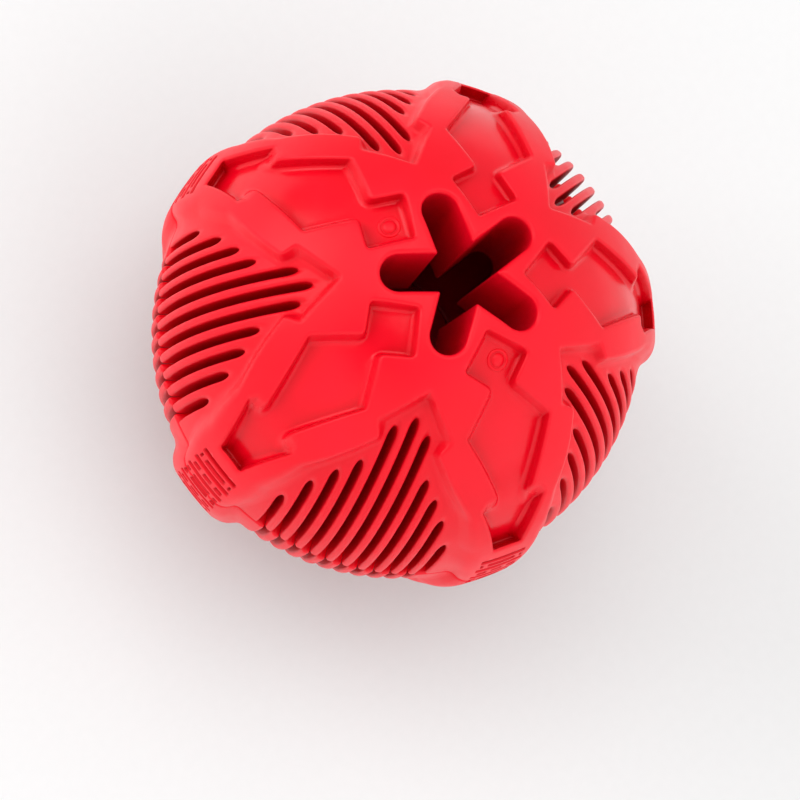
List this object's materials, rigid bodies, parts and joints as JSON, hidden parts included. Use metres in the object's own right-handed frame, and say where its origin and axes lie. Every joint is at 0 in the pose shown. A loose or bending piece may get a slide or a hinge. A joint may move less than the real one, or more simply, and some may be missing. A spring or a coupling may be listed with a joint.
{
  "type": "dog treat ball",
  "caption": "Hollow rubber dog ball with star-shaped treat mouths, ribbed side panels and sunken chewing pockets.",
  "frame": {"origin": "middle of the ball, on the plane where its two halves meet", "axes": "+Z through the middles of the two star-shaped mouths, +X through one of the five raised corners"},
  "size_m": [0.0875, 0.088, 0.09],
  "materials": {
    "rubber": "satin moulded red rubber",
    "bonding_gum": "matte dark red bonding gum"
  },
  "bodies": {
    "root": {"upper_half": "rubber", "lower_half": "rubber", "bonding_strip": "bonding_gum"}
  },
  "joints": []
}
